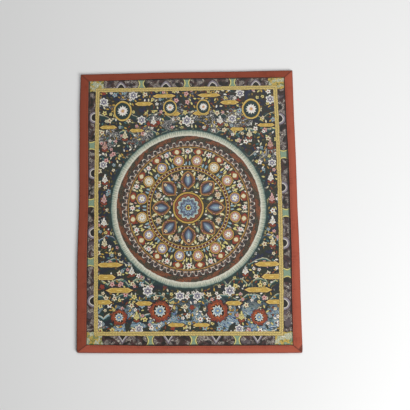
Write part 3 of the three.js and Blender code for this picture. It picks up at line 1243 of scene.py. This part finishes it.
@dataclass(frozen=True)
class Mandala:
    """The round picture: pale ring, ring of flames, ring of lobes, and wheels of lotus flowers."""

    middle: tuple[float, float] = (2.0, 0.7)
    half: tuple[float, float] = (122.2, 125.3)
    ring: float = 123.75
    wheels: float = 1.067
    flames: int = 16
    lobes: int = 58
    pearls: int = 72
    medallions: int = 16
    broad_petals: int = 8
    crossing_lines: tuple[tuple[float, float, Paint], ...] = (
        (105.2, -0.6, srgb(92, 80, 74)), (106.8, 1.0, srgb(222, 212, 198)))
    wheel_leaves: tuple[tuple[tuple[float, float], tuple[float, float], Paint], ...] = (
        ((3.4, 79.0), (2.0, 4.6), PAINT.yellow), ((2.6, 68.5), (1.8, 4.2), PAINT.water),
        ((6.6, 89.0), (1.9, 4.0), PAINT.cream))

    def cells(self, out: Value, angle: Value, count: int, turn: float = 0.0
              ) -> tuple[Value, Value, Value]:
        """Cuts the round into equal wedges.

        Args:
            out: distance from the middle.
            angle: angle round the middle.
            count: number of wedges.
            turn: how far the wedges are turned, in wedges.

        Returns:
            Place across a wedge's middle line and along it, and the wedge's number.
        """
        share = angle.times(count / (2 * math.pi), turn)
        number = share.whole()
        local = (share - number - 0.5) * (2 * math.pi / count)
        return out * local.sin(), out * local.cos(), number

    def round(self, art: Painting, swell: float = 1.0) -> tuple[Value, Value, Value, Value]:
        """Distance and angle from the round's middle, and the two places that give them.

        Args:
            art: the painting.
            swell: how many times larger what is painted by them comes out.

        Returns:
            The distance, the angle, and the places across and up from the middle.
        """
        across, up = (self.ring / (half * swell) for half in self.half)
        dx = art.x.times(across, -self.middle[0] / swell)
        dy = art.y.times(up, -self.middle[1] / swell)
        return art.sheet.length(dx, dy), art.sheet.math("ARCTAN2", dy, dx), dx, dy

    def lay(self, art: Painting) -> None:
        """Paints the rings from the outside in, then the wheels.

        Args:
            art: the painting.
        """
        art.stage("painted_rings", self.rings)
        art.stage("painted_undergrowth", self.undergrowth)
        art.stage("painted_outer_wheel", self.outer_wheel)
        art.stage("painted_petal_wheel", self.petal_wheel)
        art.stage("painted_heart", self.heart)

    def rings(self, art: Painting) -> None:
        """Paints the ring's shadow, the pale ring, the flames and the lobes.

        Args:
            art: the painting.
        """
        out, angle, _, _ = self.round(art)
        art.lay(out.fall(129.0, 137.0), PAINT.deep_teal)
        self.pale_ring(art, out, angle)
        self.flame_ring(art, out, angle)
        self.lobe_ring(art, out, angle)
        art.lay(out.fall(101.2, 101.5), PAINT.ochre)

    def pale_ring(self, art: Painting, out: Value, angle: Value) -> None:
        """Paints the pale ring with its fine strokes.

        Args:
            art: the painting.
            out: distance from the middle.
            angle: angle round the middle.
        """
        sheet = art.sheet
        stroke = self.hair(art, angle * 95.0)
        pale, _ = sheet.ramp(stroke * 0.86 + out.fall(119.0, 129.0) * 0.16, [
            (0.3, srgb(122, 134, 118)), (0.44, srgb(164, 172, 154)), (0.56, srgb(200, 200, 180)),
            (0.68, srgb(228, 224, 200))])
        art.lay(out.fall(128.0, 129.4), pale)
        art.lay(out.rise(125.5, 129.0) * out.fall(128.4, 129.4) * 0.55, PAINT.teal)
        art.lay(out.fall(121.4, 123.4) * 0.7, srgb(218, 216, 200))
        art.lay(out.fall(119.3, 120.1), PAINT.ink)

    def hair(self, art: Painting, along: Value) -> Value:
        """Uneven fine stripes from 0 to 1 across a line: a noise along it.

        Args:
            art: the painting.
            along: place along the line, in stripes.

        Returns:
            0 to 1 across the stripes.
        """
        values = {"W": along, "Scale": 1.0, "Detail": 2.0}
        node = art.sheet.node("TexNoise", values, noise_dimensions="1D")
        return Value(art.sheet, node.outputs["Fac"])

    def flame_ring(self, art: Painting, out: Value, angle: Value) -> None:
        """Paints the ring of flames, in turns of rust and dark green.

        Args:
            art: the painting.
            out: distance from the middle.
            angle: angle round the middle.
        """
        sheet = art.sheet
        curl = sheet.noise(8.0, 6, 1.0, 1.2) * 0.7 + out * 0.06
        turns = angle.times(self.flames / (2 * math.pi), curl)
        fire, _ = sheet.ramp(sheet.math("FRACT", turns), [
            (0.0, srgb(122, 70, 42)), (0.18, srgb(148, 84, 50)), (0.42, srgb(124, 62, 38)),
            (0.5, srgb(42, 50, 38)), (0.74, srgb(62, 70, 56)), (0.94, srgb(38, 44, 36)),
            (1.0, srgb(122, 70, 42))])
        art.lay(out.fall(119.2, 119.6), fire)
        tongues = out.fall(118.8, 119.2) * out.rise(111.5, 111.8)
        art.bands(art.strokes(6.0, 6.0, 1.6), [
            (0.12, srgb(150, 98, 62)), (0.2, PAINT.umber), (0.34, PAINT.ink), (0.68, None),
            (0.76, srgb(92, 92, 70)), (0.82, PAINT.umber)], tongues, 0.06)
        art.lay(out.fall(111.3, 111.7), PAINT.ink)

    def lobe_ring(self, art: Painting, out: Value, angle: Value) -> None:
        """Paints the ring of lobes: two zigzag lines that cross, on slate.

        Args:
            art: the painting.
            out: distance from the middle.
            angle: angle round the middle.
        """
        sheet = art.sheet
        slate, _ = sheet.ramp(sheet.noise(6.0, 11), [
            (0.35, srgb(44, 40, 34)), (0.48, srgb(70, 62, 52)), (0.56, srgb(50, 50, 58)),
            (0.68, srgb(96, 64, 50))])
        art.lay(out.fall(111.0, 111.3), slate)
        wave = angle.times(self.lobes / math.pi, 0.0).fold(1.0) - 0.5
        steep = sheet.least(sheet.most(wave * 15.0, -3.0), 3.0)
        for place, side, paint in self.crossing_lines:
            line = abs(out - place - steep * side)
            art.lay(line.fall(0.35, 1.05), paint)
        dots = sheet.length(wave * 6.0, out - 103.6)
        art.lay(dots.fall(1.0, 1.6), srgb(186, 150, 124))

    def undergrowth(self, art: Painting) -> None:
        """Strews small leaves and buds over the ground between the flowers.

        Args:
            art: the painting.
        """
        out, _, _, _ = self.round(art, self.wheels)
        inside = out.fall(93.0, 93.3)
        ground, _ = art.sheet.ramp(art.sheet.noise(9.0, 5, 1.5), [
            (0.36, srgb(40, 40, 34)), (0.5, srgb(60, 64, 52)), (0.6, srgb(84, 66, 52))])
        art.lay(inside, ground)
        across, up, second = art.scatter(6.6, 1.0)
        paint, _ = art.sheet.ramp(second, [
            (0.0, PAINT.cream), (0.2, PAINT.olive), (0.36, PAINT.yellow), (0.5, PAINT.rose),
            (0.62, PAINT.white), (0.74, PAINT.blue), (0.84, PAINT.rust)], sharp=True)
        leaf = art.leaf(across, up, (0, 0), (1.5, 3.0))
        art.lay(inside * leaf.fall(1.0, 1.5), PAINT.ink)
        art.lay(inside * leaf.fall(0.75, 0.95), paint)

    def outer_wheel(self, art: Painting) -> None:
        """Paints the wheel of sixteen medallions, with leaves and crowns between them.

        Args:
            art: the painting.
        """
        sheet = art.sheet
        out, angle, _, _ = self.round(art, self.wheels)
        x, y, number = self.cells(out, angle, self.medallions)
        art.bands(art.leaf(x, y, (0, 88.0), (9.0, 6.0)) * 0.8, [
            (0.3, PAINT.cream), (0.42, PAINT.ochre), (0.7, PAINT.brick), (0.78, PAINT.ink)])
        medal = art.disc(x, y, (0, 74.0), (9.3, 9.3))
        field, _ = sheet.ramp(sheet.chance(number), [
            (0.0, PAINT.rose), (0.3, PAINT.yellow), (0.5, PAINT.lilac), (0.68, PAINT.rose),
            (0.84, PAINT.cream)], sharp=True)
        art.lay(medal.fall(0.98, 1.06), PAINT.ink)
        art.lay(medal.fall(0.9, 0.95), PAINT.gold)
        art.lay(medal.fall(0.76, 0.81), PAINT.brick)
        art.lay(medal.fall(0.68, 0.73), field)
        art.bands(art.flower(x, y, (0, 74.0), 6.0, 6, 0.7, 0.0, False) * 0.9, [
            (0.16, PAINT.orange), (0.3, PAINT.yellow), (0.74, PAINT.white), (0.84, PAINT.umber)])
        x, y, _ = self.cells(out, angle, self.medallions, 0.5)
        art.bands(art.flower(x, y, (0, 87.5), 5.6, 7, 0.9) * 0.9, [
            (0.2, PAINT.orange), (0.42, PAINT.pink), (0.8, PAINT.white), (0.9, PAINT.ink)])
        side = abs(x)
        for middle, size, paint in self.wheel_leaves:
            art.bands(art.leaf(side, y, middle, size) * 0.8, [(0.6, paint), (0.84, PAINT.ink)])

    def petal_wheel(self, art: Painting) -> None:
        """Paints eight broad lotus petals, a ring of pearls round them, and flowers between.

        Args:
            art: the painting.
        """
        sheet = art.sheet
        out, angle, _, _ = self.round(art, self.wheels)
        art.bands(out * 0.01, [
            (0.58, None), (0.59, PAINT.ink), (0.60, PAINT.gold), (0.64, PAINT.maroon),
            (0.65, PAINT.gold), (0.66, PAINT.ink)], None, 0.002)
        bead = angle.times(self.pearls / math.pi / 2, 0.0).fold(0.5) * 10.8
        art.lay(sheet.length(bead, out - 62.0).fall(1.2, 1.6), PAINT.cream)
        x, y, _ = self.cells(out, angle, self.broad_petals, 0.5)
        art.bands(art.leaf(x, y, (0, 42.5), (14.5, 16.5)), [
            (0.12, PAINT.water), (0.28, srgb(118, 130, 148)), (0.42, srgb(74, 84, 104)),
            (0.48, PAINT.ink), (0.60, srgb(104, 74, 60)), (0.74, srgb(146, 92, 66)),
            (0.82, PAINT.gold), (0.9, PAINT.ink)])
        art.bands(art.flower(x, y, (0, 50.0), 4.4, 5, 0.8, 0.25), [
            (0.3, PAINT.orange), (0.75, PAINT.cream), (0.9, PAINT.navy)])
        x, y, _ = self.cells(out, angle, self.broad_petals)
        art.bands(art.flower(x, y, (0, 50.5), 7.2, 8, 0.7, 0.25), [
            (0.18, PAINT.brick), (0.3, PAINT.yellow), (0.55, PAINT.rose), (0.8, PAINT.cream),
            (0.92, PAINT.ink)])
        art.bands(art.leaf(x, y, (0, 36.5), (3.6, 6.0)), [
            (0.3, PAINT.cream), (0.7, PAINT.sage), (0.86, PAINT.ink)])
        side = abs(x)
        art.bands(art.leaf(side, y, (10.5, 52.0), (2.2, 4.8)), [
            (0.3, PAINT.white), (0.75, PAINT.yellow), (0.9, PAINT.ink)])
        art.bands(art.leaf(side, y, (6.5, 40.5), (1.9, 4.2)), [
            (0.3, PAINT.rose), (0.7, PAINT.rust), (0.9, PAINT.ink)])

    def heart(self, art: Painting) -> None:
        """Paints the lotus in the middle, on a brick-red disc with a gold rim.

        Args:
            art: the painting.
        """
        out, _, dx, dy = self.round(art)
        art.bands(out * (1 / 28.0), [
            (0.80, srgb(146, 80, 54)), (0.84, PAINT.ink), (0.93, PAINT.gold),
            (0.97, PAINT.ink)], None, 0.02)
        art.bands(art.flower(dx, dy, (0, 0), 21.5, 12, 0.22, 0.0, False), [
            (0.42, srgb(88, 98, 122)), (0.58, srgb(124, 136, 160)), (0.72, srgb(96, 98, 112)),
            (0.84, PAINT.water), (0.89, PAINT.cream), (0.96, PAINT.ink)], None, 0.05)
        art.bands(art.flower(dx, dy, (0, 0), 15.0, 8, 0.5, 0.5), [
            (0.3, PAINT.gold), (0.46, srgb(58, 66, 92)), (0.66, srgb(120, 136, 162)),
            (0.8, PAINT.water), (0.94, srgb(58, 66, 92))], None, 0.05)
        art.bands(art.flower(dx, dy, (0, 0), 6.0, 6, 0.3), [
            (0.35, PAINT.brick), (0.5, PAINT.umber), (0.82, PAINT.yellow), (0.96, PAINT.ink)])


@dataclass(frozen=True)
class Landscape:
    """All round the mandala: hills, clouds, gold bars of cloud, lotus flowers and flames."""

    middle: float = 1.0
    hill_rows: tuple[tuple[float, float, float, Paint], ...] = (
        (150.0, 52.0, 12.0, PAINT.deep_teal), (124.0, 37.0, 9.0, PAINT.teal),
        (86.0, 30.0, 8.0, PAINT.navy), (-52.0, 28.0, 9.0, PAINT.blue),
        (-92.0, 43.0, 10.0, PAINT.teal), (-124.0, 34.0, 10.0, PAINT.sage),
        (-150.0, 47.0, 11.0, PAINT.teal), (-176.0, 29.0, 7.0, PAINT.water))
    cloud_bars: tuple[tuple[float, float, float, float], ...] = (
        (38, 191, 24, 3.6), (72, 178, 19, 4.0), (24, 160, 17, 3.8), (132, 138, 18, 3.6),
        (84, 132, 15, 3.4), (128, -92, 26, 4.4), (134, -112, 20, 5.0), (112, -133, 27, 4.6),
        (138, -152, 18, 4.2), (72, -154, 17, 4.0), (20, -188, 17, 3.4))
    lotus_buds: tuple[tuple[float, float, Paint], ...] = (
        (56.0, 146.0, PAINT.white), (138.0, 104.0, PAINT.rose), (137.0, 48.0, PAINT.white),
        (138.0, 14.0, PAINT.pink), (138.0, -24.0, PAINT.white), (137.0, -58.0, PAINT.cream),
        (92.0, -104.0, PAINT.white), (84.0, -176.0, PAINT.yellow), (104.0, 122.0, PAINT.cream))
    cloud_banks: tuple[tuple[float, float, float], ...] = (
        (0.0, 148.0, 10.0), (90.0, 193.0, 8.5), (140.0, 182.0, 9.0), (76.0, 150.0, 8.5),
        (140.0, 74.0, 8.0), (66.0, -134.0, 10.0), (14.0, -142.0, 9.0), (80.0, -194.0, 8.0),
        (146.0, -186.0, 8.5))
    medallions: tuple[tuple[float, float, float], ...] = ((108.0, 166.0, 16.0), (28.0, 171.0, 12.0))
    flaming: tuple[tuple[float, float, float], ...] = ((46.0, -166.0, 14.0), (112.0, -176.0, 10.5))

    def lay(self, art: Painting) -> None:
        """Paints the ground, the strewn flowers, and the larger motifs in mirrored pairs.

        Args:
            art: the painting.
        """
        sheet = art.sheet
        ground, _ = sheet.ramp(sheet.noise(20.0, 7, 1.5, 0.3), [
            (0.32, PAINT.night), (0.42, PAINT.navy), (0.46, PAINT.night), (0.52, PAINT.forest),
            (0.6, PAINT.umber), (0.68, PAINT.deep_teal)])
        art.colour = ground
        for stage in (self.hills, self.clouds, self.leaves, self.blooms, self.bars, self.banks,
                      self.buds, self.lotuses):
            art.stage(f"painted_{stage.__name__}", stage)

    def hills(self, art: Painting) -> None:
        """Paints rows of scalloped hills, pale along their tops and dark below.

        Args:
            art: the painting.
        """
        side = abs(art.x - self.middle)
        bumpy = art.sheet.noise(12.0, 12) * 5.0
        for top, pitch, rise, paint in self.hill_rows:
            swell = side.times(1.0, top * 0.37).fold(pitch / 2) * (2 / pitch)
            depth = (swell * swell).times(-rise, bumpy - art.y + (top + rise - 2.5))
            art.bands(depth * (1 / 30.0), [
                (0.02, None), (0.055, PAINT.cream), (0.12, paint), (0.3, PAINT.deep_teal),
                (0.6, PAINT.night), (0.9, PAINT.forest)], None, 0.05)

    def clouds(self, art: Painting) -> None:
        """Paints drifts of curling cloud above, and waves below.

        Args:
            art: the painting.
        """
        sheet = art.sheet
        drift = sheet.noise(30.0, 8, 1.0, 0.6).rise(0.55, 0.58) * art.y.rise(60.0, 100.0)
        art.bands(art.strokes(11.0, 8.0, 1.4, 9.0, (1.3, 1.0)), [
            (0.14, PAINT.white), (0.28, srgb(150, 146, 144)), (0.4, PAINT.slate), (0.64, PAINT.ink),
            (0.74, srgb(86, 98, 112)), (0.86, PAINT.umber)], drift, 0.06)
        water = sheet.noise(26.0, 13, 1.0, 0.4).rise(0.46, 0.49) * art.y.fall(-178.0, -140.0)
        art.bands(art.strokes(8.0, 7.0, 0.8, 16.0, (2.4, 0.8)), [
            (0.12, PAINT.white), (0.3, PAINT.water), (0.55, PAINT.blue), (0.7, PAINT.navy),
            (0.86, PAINT.teal), (0.96, PAINT.water)], water, 0.06)

    def leaves(self, art: Painting) -> None:
        """Strews leaves in thickets.

        Args:
            art: the painting.
        """
        sheet = art.sheet
        thicket = sheet.noise(22.0, 17, 1.0).rise(0.4, 0.5)
        across, up, chance = art.scatter(6.6, 2.0)
        paint, _ = sheet.ramp(chance, [
            (0.0, PAINT.cream), (0.12, PAINT.olive), (0.3, PAINT.gold), (0.46, PAINT.teal),
            (0.54, PAINT.white), (0.62, PAINT.rust), (0.76, PAINT.ochre),
            (0.9, PAINT.yellow)], sharp=True)
        leaf = art.leaf(across, up, (0, 0), (1.5, 3.2))
        art.lay(leaf.fall(1.1, 1.5) * thicket, PAINT.ink)
        art.lay(leaf.fall(0.7, 0.95) * thicket, paint)

    def blooms(self, art: Painting) -> None:
        """Strews flowers and buds of several sizes, with gaps between them.

        Args:
            art: the painting.
        """
        sheet = art.sheet
        for pitch, seed, size, share in ((17.0, 3.0, 5.4, 0.5), (12.5, 5.0, 3.7, 0.44)):
            across, up, chance = art.scatter(pitch, seed, 0.18)
            paint, _ = sheet.ramp(chance, [
                (0.0, PAINT.white), (0.12, PAINT.cream), (0.22, PAINT.yellow), (0.31, PAINT.pink),
                (0.38, PAINT.water), (0.45, PAINT.brick), (0.49, PAINT.white)], sharp=True)
            bloom = art.flower(across, up, (0, 0), size, 5, 0.8)
            shown = sheet.math("LESS_THAN", chance, share)
            art.lay(bloom.fall(1.0, 1.15) * shown, PAINT.ink)
            art.lay(bloom.fall(0.85, 0.95) * shown, paint)
            art.lay(bloom.fall(0.3, 0.38) * shown, PAINT.brick)

    def bars(self, art: Painting) -> None:
        """Paints level gold bars of cloud with tapering ends.

        Args:
            art: the painting.
        """
        side = abs(art.x - self.middle)
        for across, up, length, height in self.cloud_bars:
            level = abs(art.y.measured(up, height))
            reach = abs(side.measured(across, length))
            shape = art.sheet.most(level, level.times(0.35, reach))
            art.bands(shape * 0.8, [
                (0.16, PAINT.bright_gold), (0.56, PAINT.gold), (0.66, PAINT.bright_gold),
                (0.7, PAINT.rust), (0.8, PAINT.ink)], None, 0.03)

    def buds(self, art: Painting) -> None:
        """Paints lotus buds on leafy stems, each on a brick-red cup.

        Args:
            art: the painting.
        """
        side = abs(art.x - self.middle)
        for across, up, paint in self.lotus_buds:
            x, y = side - across, art.y - up
            art.bands(art.disc(x, y, (0, -5.0), (6.4, 3.4)) * 0.9, [
                (0.5, PAINT.brick), (0.74, PAINT.rust), (0.9, PAINT.ink)])
            art.bands(art.flower(x, y, (0, 0.5), 6.6, 5, 0.62, 0.25) * 0.9, [
                (0.16, PAINT.gold), (0.36, paint), (0.44, PAINT.slate), (0.76, paint),
                (0.9, PAINT.ink)])
            art.bands(art.leaf(x, y, (0, 6.4), (2.2, 4.6)) * 0.9, [(0.66, paint), (0.9, PAINT.ink)])

    def banks(self, art: Painting) -> None:
        """Paints round-lobed banks of cloud, white along their rims.

        Args:
            art: the painting.
        """
        side = abs(art.x - self.middle)
        for across, up, size in self.cloud_banks:
            bank = art.flower(side, art.y, (across, up), size, 6, 0.55, 0.5, False)
            art.bands(bank * 0.9, [
                (0.2, PAINT.white), (0.34, PAINT.slate), (0.52, PAINT.lilac), (0.58, PAINT.slate),
                (0.82, PAINT.white), (0.9, PAINT.ink)], None, 0.06)

    def lotuses(self, art: Painting) -> None:
        """Paints lotus medallions above and flaming lotuses below.

        Args:
            art: the painting.
        """
        side = abs(art.x - self.middle)
        for across, up, size in self.medallions:
            disc = art.disc(side, art.y, (across, up), (size, size * 1.15))
            art.bands(disc * 0.9, [
                (0.68, PAINT.deep_teal), (0.72, PAINT.ink), (0.8, PAINT.gold),
                (0.86, PAINT.bright_gold), (0.9, PAINT.ink)], None, 0.02)
            art.bands(art.flower(side, art.y, (across, up), size * 0.74, 12, 0.5), [
                (0.2, PAINT.gold), (0.36, PAINT.pink), (0.8, PAINT.white), (0.92, PAINT.ink)])
        for across, up, size in self.flaming:
            disc = art.disc(side, art.y, (across, up), (size * 1.35, size * 1.35))
            lick = art.sheet.noise(5.0, 10, 1.0, 1.0) * 0.6
            art.bands((disc + lick - 0.3) * 0.9, [
                (0.5, PAINT.ink), (0.58, PAINT.orange), (0.68, PAINT.rust), (0.8, PAINT.brick),
                (0.88, PAINT.ink)], None, 0.05)
            art.bands(art.flower(side, art.y, (across, up), size * 0.8, 10, 0.5), [
                (0.2, PAINT.yellow), (0.45, PAINT.blue), (0.7, PAINT.water), (0.86, PAINT.white),
                (0.94, PAINT.ink)])


@dataclass(frozen=True)
class Weave:
    """A plain weave: its threads' pitch in millimetres, and how far they stand out."""

    pitch: float = 0.55
    height: float = 0.05

    def relief(self, sheet: Sheet, warp: Value, weft: Value, shader: bpy.types.Node) -> None:
        """Bumps a shader with the product of two sines, one along each set of threads.

        Args:
            sheet: the finish's nodes.
            warp, weft: places along the threads, in millimetres.
            shader: the shader that gets the bumps.
        """
        turn = 2 * math.pi / self.pitch
        bump = sheet.node("Bump", {
            "Height": (warp * turn).sin() * (weft * turn).sin(), "Strength": 0.6,
            "Distance": self.height * MM,
        })
        sheet.tree.links.new(bump.outputs[0], shader.inputs["Normal"])


@dataclass(frozen=True)
class ClothFinish:
    """Plain-woven dyed cotton, with uneven threads, faded and given a painted highlight along its
    crown, and darkened by soil and by painted shade.
    """

    name: str
    dye: Paint
    deep_dye: Paint
    faded_and_highlight: Paint
    soil_and_shade_colour: Paint
    weave: Weave = Weave()
    roughness: float = 0.82
    sheen: float = 0.12
    slub: float = 0.7
    slub_stretch: float = 24.0
    threads: tuple[str, str] = ("warp", "weft")

    def make(self) -> bpy.types.Material:
        """Dyes the cloth by clouds and by threads, then lays the fading with its painted crown
        highlight, and the soil with its painted shade, on it.

        Returns:
            The material.
        """
        material, shader = new_material(self.name, {
            "Roughness": self.roughness, "Specular IOR Level": 0.3, "Sheen Weight": self.sheen,
            "Sheen Roughness": 0.5})
        sheet = Sheet(material.node_tree)
        clouds = sheet.noise(26.0, 21, 3.0)
        level_slubs = sheet.noise(self.slub, 22, 1.0, stretch=(self.slub_stretch, 1.0))
        slubs = level_slubs + sheet.noise(self.slub, 23, 1.0, stretch=(1.0, self.slub_stretch))
        shade = slubs.times(0.35, clouds * 0.65)
        colour, _ = sheet.ramp(shade, [(0.40, self.deep_dye), (0.5, self.dye), (0.60, self.faded_and_highlight)])
        # Painted highlight along the crown of each strip's upper leaf, laid as faded cloth.
        rubbed_and_highlit = sheet.attribute("rubbed_and_highlit") * sheet.noise(9.0, 24, 2.0).rise(0.3, 0.6)
        colour = sheet.mix(rubbed_and_highlit * 0.7, colour, self.faded_and_highlight)
        # Soil in the dented tip, and painted shade along the fold and at the mitred ends.
        colour = sheet.mix(sheet.attribute("soil_and_shade") * 0.75, colour, self.soil_and_shade_colour)
        sheet.tree.links.new(colour.socket, shader.inputs["Base Color"])
        warp, weft = (sheet.attribute(name) for name in self.threads)
        self.weave.relief(sheet, warp, weft, shader)
        return material


@dataclass(frozen=True)
class ThreadFinish:
    """Matt cotton thread, uneven in shade from stitch to stitch."""

    dye: Paint = srgb(112, 46, 36)
    deep_dye: Paint = srgb(84, 34, 28)

    def make(self) -> bpy.types.Material:
        """Shades the thread by a fine noise.

        Returns:
            The material.
        """
        material, shader = new_material("cotton_thread", {"Roughness": 0.85, "Sheen Weight": 0.1})
        sheet = Sheet(material.node_tree)
        colour, _ = sheet.ramp(sheet.noise(2.4, 31, 2.0), [(0.35, self.deep_dye), (0.62, self.dye)])
        sheet.tree.links.new(colour.socket, shader.inputs["Base Color"])
        return material


@dataclass(frozen=True)
class PaintFinish:
    """Opaque matt paint on primed cotton."""

    roughness: float = 0.58
    gloss: float = 0.42
    wobble: float = 0.8
    weave: Weave = Weave(0.8, 0.03)

    def make(self) -> bpy.types.Material:
        """Paints the picture, from its ground to its border, with a slightly uneven brush.

        Returns:
            The material.
        """
        material, shader = new_material("mineral_paint", {
            "Roughness": self.roughness, "Specular IOR Level": self.gloss})
        sheet = Sheet(material.node_tree)
        x, y = sheet.attribute("picture_x"), sheet.attribute("picture_y")
        shake = sheet.noise(9.0, 1) * self.wobble * 2.0 - self.wobble
        shiver = sheet.noise(7.0, 2) * self.wobble * 2.0 - self.wobble
        art = Painting(sheet, x + shake, y + shiver, PAINT.forest)
        Landscape().lay(art)
        Mandala().lay(art)
        Border().lay(art)
        self.weave.relief(sheet, x, y, shader)
        brushed, _ = sheet.ramp(sheet.noise(1.6, 3, 2.0, 0.5), [
            (0.3, srgb(214, 214, 214)), (0.65, srgb(255, 255, 255))])
        markings = sheet.node("Mix", {0: 1.0, 6: art.colour, 7: brushed},
                          data_type="RGBA", blend_type="MULTIPLY")
        sheet.tree.links.new(markings.outputs[2], shader.inputs["Base Color"])
        return material


RED_CLOTH = ClothFinish("red_cotton", srgb(146, 66, 47), srgb(130, 56, 40), srgb(160, 78, 57),
                        srgb(66, 32, 24))
# A darker copy of the same red cloth, as painted shade for the left and top strips.
SHADED_RED_CLOTH = ClothFinish("shaded_red_cotton", srgb(119, 52, 32), srgb(104, 44, 27), srgb(134, 62, 41),
                             srgb(66, 32, 24))
BARE_COTTON = ClothFinish("bare_cotton", srgb(204, 192, 164), srgb(190, 176, 148), srgb(214, 204, 180),
                          srgb(150, 130, 100), threads=("picture_x", "picture_y"))


def sew(edges: list[BoundEdge]) -> bpy.types.Object:
    """Joins the stitches of all four sides into one piece.

    Args:
        edges: the four strips.

    Returns:
        The stitches.
    """
    points, faces = zip(*(edge.stitches() for edge in edges))
    starts = np.cumsum([0] + [len(part) for part in points[:-1]])
    faces = [part + start for part, start in zip(faces, starts)]
    thread = new_piece("seam_stitches", np.concatenate(points), np.concatenate(faces))
    thread.data.materials.append(ThreadFinish().make())
    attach(thread, "root")
    return thread


def main() -> None:
    """Builds the panel and its studio."""
    logging.basicConfig(level=logging.INFO)
    studio = Studio()
    studio.camera()
    lines = {side: SideLine.read(side) for side in Side}
    sheet = PaintedSheet(lines).make()
    sheet.data.materials.append(PaintFinish().make())
    sheet.data.materials.append(BARE_COTTON.make())
    pieces = [sheet]
    red, shaded_red = RED_CLOTH.make(), SHADED_RED_CLOTH.make()
    dent = {Side.RIGHT: 0.9 * MM}
    edges = [BoundEdge(line, tip_dent=dent.get(side, 0.0)) for side, line in lines.items()]
    for edge in edges:
        piece = edge.make()
        # The left and top strips take the darker copy of the cloth: painted shade.
        piece.data.materials.append(shaded_red if edge.line.side in (Side.LEFT, Side.TOP) else red)
        pieces.append(piece)
    pieces.append(sew(edges))
    for piece in pieces:
        log.info("%s: %d faces", piece.name, len(piece.data.polygons))
    studio.light()
    studio.floor()


if __name__ == "__main__":
    main()
